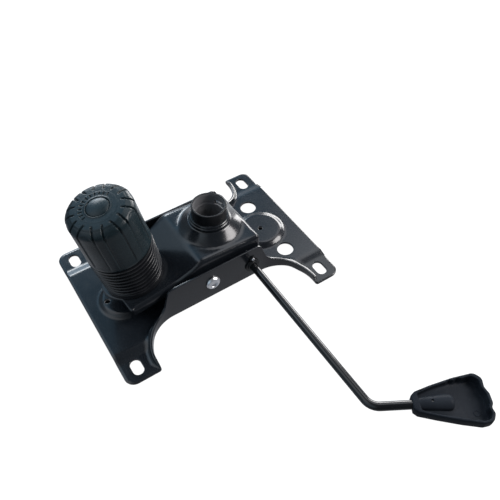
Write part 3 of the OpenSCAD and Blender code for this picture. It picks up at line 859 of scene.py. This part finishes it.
knob = piece("fluted_knob", kv, kf, "knob", ["tension_knob"], M_KNOB, "grey_plastic", sharp=60, weighted=False)
cap_prof = [(0, 97.7), (10.2, 97.7), (10.3, 100.4), (10.15, 100.75), (9.8, 101.0), (9.0, 101.35), (7.5, 101.75), (5.5, 102.12), (3, 102.4),
            (1.4, 102.48), (0, 102.5)]
cap = piece("knob_button", *revolve(cap_prof, 96, KNOB, closed=False), "knob", ["knob_cap"], M_KNOB, "grey_plastic", sharp=50)

# --------------------------------------------------------------- the spring
def coil(lo, hi, u0, u1, n):
    """Part of the spring's line between heights lo and hi, with closed ends."""
    turns, wire = 6.0, 7.0
    flat = (wire + 0.3) / (hi - lo)
    pts = []
    for i in range(n + 1):
        u = u0 + (u1 - u0) * i / n
        q = u * turns
        if q < 1:
            e = flat * q
        elif q > turns - 1:
            e = 1 - flat * (turns - q)
        else:
            e = flat + (1 - 2 * flat) * (q - 1) / (turns - 2)
        a = 2 * math.pi * q
        pts.append(KNOB @ Vector((21.5 * math.cos(a), 21.5 * math.sin(a), lo + (hi - lo) * e)))
    return pts


axis_k = KNOB.to_3x3() @ Vector((0, 0, 1))
low_half = piece("spring_lower", *sweep(coil(7.6, 72.4, 0.0, 0.5, 150), 3.45, 16, axis_k), "carrier", ["tension_spring"], M_SPRING, "zinc_steel")
high_half = piece("spring_upper", *sweep(coil(7.6, 72.4, 0.5, 1.0, 150), 3.45, 16, axis_k), "bolt", ["tension_spring"], M_SPRING, "zinc_steel")
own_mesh(low_half)
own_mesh(high_half)
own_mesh(boot_low)
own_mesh(boot_high)

# ---------------------------------------------------------------- the lever
bend = []
tl = 14 * math.tan(math.radians(30))
for x in list(np.linspace(-46, 226.8 - tl, 40)):
    bend.append((x, LEVER_Y, LEVER_Z))
for a in np.linspace(0, 60, 17)[1:]:
    an = math.radians(a)
    bend.append((226.8 - tl + 14 * math.sin(an), LEVER_Y + 14 - 14 * math.cos(an), LEVER_Z))
for u in list(np.linspace(tl, 56, 10))[1:]:
    q = GRIP @ Vector((u, 0, 0))
    bend.append((q.x, q.y, q.z))
rod = piece("bent_rod", *sweep(bend, 4.0, 40), "lever", ["lever_rod"], M_ROD, "black_rod", sharp=50)

# --------------------------------------------------------------- the handle
outer_pos, outer_nrm = round_poly(
    [(34, -5.6, 1.5), (34, 6.6, 1.5), (37.6, 9.9, 3), (52, 14.9, 60), (72, 20.6, 60), (91.4, 24.3, 6.5), (97.8, 19.0, 6), (97.2, 10.6, 4),
     (100.0, 4.6, 5), (100.4, -4.2, 5), (98.2, -8.2, 4), (99.9, -13.2, 5), (96.6, -20.2, 6), (88.5, -21.6, 7), (72, -18.3, 60), (52, -13.2, 60),
     (37.6, -9.0, 3)], 1.4, 0.7)
pocket_pos, pocket_nrm = round_poly(
    [(40.6, -7.0, 1.5), (39.4, 7.6, 1.5), (52, 12.5, 60), (66, 16.5, 3), (69.5, 18.6, 3), (72.5, 17.7, 3), (76.5, 20.1, 3), (80, 19.3, 3), (88.6, 21.4, 5),
     (94.4, 17.4, 5), (94.4, 10.6, 4), (97.2, 4.0, 4), (97.4, -4.0, 4), (95.4, -8.0, 3), (97.0, -13.0, 4), (94.0, -18.2, 4.5), (88.2, -19.3, 4),
     (84.5, -17.8, 3), (80.5, -18.4, 3), (76.5, -16.5, 3), (52, -11.3, 60)], 1.2, 0.6)


def grip_floor(u, w):
    """The pocket's floor: shallow at the boss, deeper at the lobes, with a round mark."""
    d = np.hypot(np.asarray(u, float) - 87.5, np.asarray(w, float) + 9.0)
    return 0.4 - 4.6 * smooth(55, 90, u) + 0.35 * np.exp(-((d - 2.5) / 0.45) ** 2)


def wall(pos, nrm, levels):
    """A band of faces round an outline: each level is (inward shift, height or height rule)."""
    verts, rows = [], []
    for d, z in levels:
        rows.append(list(range(len(verts), len(verts) + len(pos))))
        for q, n in zip(pos, nrm):
            x, y = q[0] - n[0] * d, q[1] - n[1] * d
            verts.append((x, y, float(z(x, y)) if callable(z) else z))
    faces = []
    for a, b in zip(rows, rows[1:]):
        m = len(a)
        for i in range(m):
            faces.append((a[i], a[(i + 1) % m], b[(i + 1) % m], b[i]))
    return verts, faces


def cap_at(rings, z, step=2.4, skip=None, extra=None):
    pts = grid(rings, step, step * 0.6, skip)
    if extra is not None:
        pts = np.concatenate([pts, extra])
    xy, tri, _ = fill(rings, pts)
    zz = z(xy[:, 0], xy[:, 1]) if callable(z) else np.full(len(xy), float(z))
    return [(x, y, h) for (x, y), h in zip(xy, zz)], [tuple(t) for t in tri]


shift = lambda pos, nrm, d: pos - nrm * d
part_way = lambda g: (lambda u, w: 3.8 + (grip_floor(u, w) - 3.8) * g)
outside = wall(outer_pos, outer_nrm, [(2.2, -6.5), (1.5, -6.3), (0.9, -5.8), (0.5, -5.0), (0.25, -3.8), (0.08, -1.5), (0.0, 1.0), (0.05, 3.3),
                                      (0.25, 4.1), (0.7, 4.5)])
base = cap_at([shift(outer_pos, outer_nrm, 2.2)], -6.5)
rim = cap_at([shift(outer_pos, outer_nrm, 0.7), shift(pocket_pos, pocket_nrm, -0.45)], 4.5, 1.5)
pocket = wall(pocket_pos, pocket_nrm, [(-0.45, 4.5), (-0.12, 4.25), (0.0, 3.8), (0.1, part_way(0.3)), (0.25, part_way(0.6)), (0.5, part_way(0.82)),
                                       (0.9, part_way(0.94)), (1.5, part_way(1.0))])
marks = np.array([(87.5 + r * math.cos(a), -9.0 + r * math.sin(a)) for r in (1.5, 2.0, 2.3, 2.5, 2.7, 3.0, 3.5) for a in np.arange(28) * 2 * math.pi / 28])
floor_part = cap_at([shift(pocket_pos, pocket_nrm, 1.5)], grip_floor, 2.0, lambda q: np.hypot(q[:, 0] - 87.5, q[:, 1] + 9.0) < 4.3, marks)
boss_rows = []
boss_u = [38.2, 39.5, 42, 45, 47.5, 49, 49.4, 49.7, 50.0, 50.4, 51.0, 51.6, 52.0, 52.3, 52.6, 53, 55, 58, 61, 63.5, 65.5, 66.6, 67.5, 68.3, 68.9, 69.3, 69.5]
boss_top = curve([38, 45, 55, 63, 66, 68, 69, 69.6], [4.5, 4.8, 5.1, 5.3, 5.2, 4.6, 3.5, 1.9])
boss_wide = curve([38, 45, 55, 63, 66, 68, 69, 69.6], [5.6, 6.1, 6.8, 7.2, 7.0, 6.0, 4.6, 2.6])
for u in boss_u:
    row = []
    for k in range(57):
        a = math.pi * k / 56
        w, z = float(boss_wide(u)) * math.cos(a), -0.4 + (float(boss_top(u)) + 0.4) * math.sin(a) ** 0.85
        row.append((u, w, z - 2.6 * float(1 - smooth(0.9, 1.3, math.hypot(u - 51.0, w - 0.5)))))
    boss_rows.append(row + [(u, -float(boss_wide(u)), -4.9), (u, float(boss_wide(u)), -4.9)])
bv = [q for row in boss_rows for q in row]
m = len(boss_rows[0])
bf = [(i * m + k, i * m + (k + 1) % m, (i + 1) * m + (k + 1) % m, (i + 1) * m + k) for i in range(len(boss_rows) - 1) for k in range(m)]
bf += [tuple(range(m)), tuple(range((len(boss_rows) - 1) * m, len(boss_rows) * m))]
hv, hf = join(outside, base, rim, pocket, floor_part, (bv, bf))
hv = [GRIP @ Vector(q) for q in hv]
handle = piece("paddle_grip", hv, hf, "lever", ["lever_handle"], M_GRIP, "black_plastic", sharp=50)

# ------------------------------------------------------------------ the pin
half_pin = fillet([(0, 30), (6, 30), (6, 44.9), (7.4, 44.9), (7.4, 46.0), (6.2, 47.6), (4.3, 47.9), (3.4, 46.9), (2.2, 46.3), (0, 46.3)],
                  [0, 0, 0.2, 0.25, 0.8, 1.0, 0.5, 0.9, 0.8, 0], 5)
to_x = Matrix.Translation((0, PIVOT_Y, PIVOT_Z)) @ Matrix.Rotation(math.radians(90), 4, "Y")
to_mx = Matrix.Translation((0, PIVOT_Y, PIVOT_Z)) @ Matrix.Rotation(math.radians(-90), 4, "Y")
pin = piece("plated_pin", *join(revolve(half_pin[1:], 64, to_x, closed=False), revolve(half_pin[1:], 64, to_mx, closed=False),
                                revolve([(6, -30), (6, 30)], 64, to_x, closed=False)), "seat", ["pivot_pin"], M_ZINC, "zinc_steel")

# ------------------------------------- the rest keep their CAD shapes, with soft edges
REST = {
    "anchor_bracket": (M_STEEL, 0.5), "rest_stop_pads": (M_RUBBER, 0.6), "tilt_stop_pads": (M_RUBBER, 0.4),
    "lever_bush_near": (M_PLASTIC, 0.45), "lever_bush_far": (M_PLASTIC, 0.45), "bush_rivet": (M_ZINC, 0.25),
    "socket_support": (M_STEEL, 0.4), "pivot_tube": (M_STEEL, 0.4), "pivot_bushes": (M_PLASTIC, 0.3), "spring_seat": (M_ZINC, 0.35),
    "tension_bolt": (M_ZINC, 0.4), "upper_spring_cup": (M_ZINC, 0.35), "thrust_washer": (M_PLASTIC, 0.3), "knob_nut": (M_ZINC, 0.4),
    "lock_plate": (M_ZINC, 0.4), "lever_return_spring": (M_SPRING, 0.0), "release_tongue": (M_ZINC, 0.4), "lever_ring": (M_ZINC, 0.2),
}
for name, (mat, width) in REST.items():
    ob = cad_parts[name]
    ob.data.materials.clear()
    ob.data.materials.append(mat)
    if width:
        weld = ob.modifiers.new("weld", "WELD")
        weld.merge_threshold = 2e-6
        bev = ob.modifiers.new("edges", "BEVEL")
        bev.width = width * MM
        bev.segments = 3
        bev.limit_method = "ANGLE"
        bev.angle_limit = math.radians(35)
        bev.harden_normals = True
        bev.use_clamp_overlap = True

# ------------------------------------------------------------ floor and light
fm, nt, p = node_mat("floor_white")
p.inputs["Base Color"].default_value = (0.08, 0.08, 0.08, 1)
p.inputs["Roughness"].default_value = 0.9
p.inputs["Specular IOR Level"].default_value = 0.1
p.inputs["Emission Color"].default_value = (1, 1, 1, 1)
# Painted shadow: the floor's glow drops to nothing within 19 mm of two points under the seat plate's small emboss
# holes and rises back to 0.99 by 24 mm, so the holes look dark; the rest of the floor glows evenly.
spot = nt.nodes.new("ShaderNodeTexCoord").outputs["Object"]
glow_less_painted_shadows = None
for side in (0.083, -0.083):
    gap = nt.nodes.new("ShaderNodeVectorMath")
    gap.operation = "DISTANCE"
    nt.links.new(spot, gap.inputs[0])
    gap.inputs[1].default_value = (-0.004, side, 0)
    one = ramp(nt, gap.outputs["Value"], 0.019, 0.024, 0.0, 0.99)
    if glow_less_painted_shadows is None:
        glow_less_painted_shadows = one
    else:
        low = nt.nodes.new("ShaderNodeMath")
        low.operation = "MINIMUM"
        nt.links.new(glow_less_painted_shadows, low.inputs[0])
        nt.links.new(one, low.inputs[1])
        nt.links.new(low.outputs[0], p.inputs["Emission Strength"])
me = bpy.data.meshes.new("floor")
S = 6.0
me.from_pydata([(-S, -S, -0.0004), (S, -S, -0.0004), (S, S, -0.0004), (-S, S, -0.0004)], [], [(0, 1, 2, 3)])
floor = bpy.data.objects.new("floor", me)
me.materials.append(fm)
SCENE.collection.objects.link(floor)
floor.visible_diffuse = floor.visible_glossy = floor.visible_shadow = False

world = bpy.data.worlds.new("studio")
SCENE.world = world
world.use_nodes = True
wt = world.node_tree
way = wt.nodes.new("ShaderNodeTexCoord").outputs["Generated"]


def lobe(base, towards, lo, hi, colour):
    """Adds a soft round patch of light to the studio's walls: it fades from hi to lo, both cosines of the angle off its middle."""
    d = Vector(towards).normalized()
    dot = wt.nodes.new("ShaderNodeVectorMath")
    dot.operation = "DOT_PRODUCT"
    wt.links.new(way, dot.inputs[0])
    dot.inputs[1].default_value = d
    fade = wt.nodes.new("ShaderNodeMapRange")
    fade.interpolation_type = "SMOOTHSTEP"
    fade.inputs["From Min"].default_value = lo
    fade.inputs["From Max"].default_value = hi
    wt.links.new(dot.outputs["Value"], fade.inputs["Value"])
    add = wt.nodes.new("ShaderNodeMix")
    add.data_type = "RGBA"
    add.blend_type = "ADD"
    wt.links.new(fade.outputs["Result"], add.inputs[0])
    if isinstance(base, tuple):
        add.inputs[6].default_value = (*base, 1)
    else:
        wt.links.new(base, add.inputs[6])
    add.inputs[7].default_value = (*colour, 1)
    return add.outputs[2]


parts = wt.nodes.new("ShaderNodeSeparateXYZ")
wt.links.new(way, parts.inputs[0])
below = wt.nodes.new("ShaderNodeMapRange")
below.interpolation_type = "SMOOTHSTEP"
below.inputs["From Min"].default_value = -0.2
below.inputs["From Max"].default_value = 0.02
below.inputs["To Min"].default_value = 1.0
below.inputs["To Max"].default_value = 0.0
wt.links.new(parts.outputs["Z"], below.inputs["Value"])
room = wt.nodes.new("ShaderNodeMix")
room.data_type = "RGBA"
wt.links.new(below.outputs["Result"], room.inputs[0])
room.inputs[6].default_value = (0.10, 0.108, 0.12, 1)
room.inputs[7].default_value = (0.16, 0.17, 0.195, 1)
sky = lobe(room.outputs[2], (-0.85, 0.1, 0.55), 0.82, 0.985, (0.20, 0.48, 0.74))
sky = lobe(sky, (0.0, 0.0, -1.0), 0.2, 0.9, (0.30, 0.30, 0.31))
sky = lobe(sky, (-0.6, 0.75, -0.25), 0.6, 1.0, (0.9, 0.92, 0.95))
sky = lobe(sky, (-0.272, 0.472, 0.839), 0.94, 0.978, (2.2, 2.25, 2.35))
sky = lobe(sky, (-0.635, -0.338, 0.695), 0.91, 0.985, (0.30, 0.52, 0.72))
sky = lobe(sky, (-0.970, 0.085, 0.225), 0.955, 0.99, (1.8, 2.2, 2.6))
sky = lobe(sky, (0.291, -0.850, 0.438), 0.80, 0.97, (0.45, 0.58, 0.68))
sky = lobe(sky, (-0.35, -0.90, 0.05), 0.5, 1.0, (0.20, 0.28, 0.34))
sky = lobe(sky, (-0.313, -0.464, 0.829), 0.88, 0.98, (1.0, 1.06, 1.12))
sky = lobe(sky, (0.0, -0.6, 0.8), 0.75, 1.0, (0.32, 0.33, 0.35))
wt.links.new(sky, wt.nodes["Background"].inputs[0])
wt.nodes["Background"].inputs[1].default_value = 1.0


def softbox(name, at, aim, w, h, radiance, colour=(1, 1, 1)):
    li = bpy.data.lights.new(name, "AREA")
    li.shape = "RECTANGLE"
    li.size, li.size_y = w, h
    li.energy = radiance * math.pi * w * h
    li.color = colour
    ob = bpy.data.objects.new(name, li)
    ob.location = at
    ob.rotation_mode = "QUATERNION"
    ob.rotation_quaternion = (Vector(aim) - Vector(at)).to_track_quat("-Z", "Y")
    SCENE.collection.objects.link(ob)
    return ob


def on_dome(az, el, dist=1.4):
    az, el = math.radians(az), math.radians(el)
    return (dist * math.cos(az) * math.cos(el), dist * math.sin(az) * math.cos(el), dist * math.sin(el))


softbox("rear_right_panel", on_dome(62, 36), (0.0, 0.0, 0.05), 0.62, 0.80, 16.0, (1.0, 0.965, 0.96))
softbox("rear_left_panel", on_dome(122, 17), (0.0, 0.0, 0.05), 0.88, 0.55, 15.0, (1.0, 0.985, 0.98))
softbox("left_panel", on_dome(173, 28), (0.0, 0.0, 0.05), 0.55, 0.34, 14.0, (0.93, 0.97, 1.0))
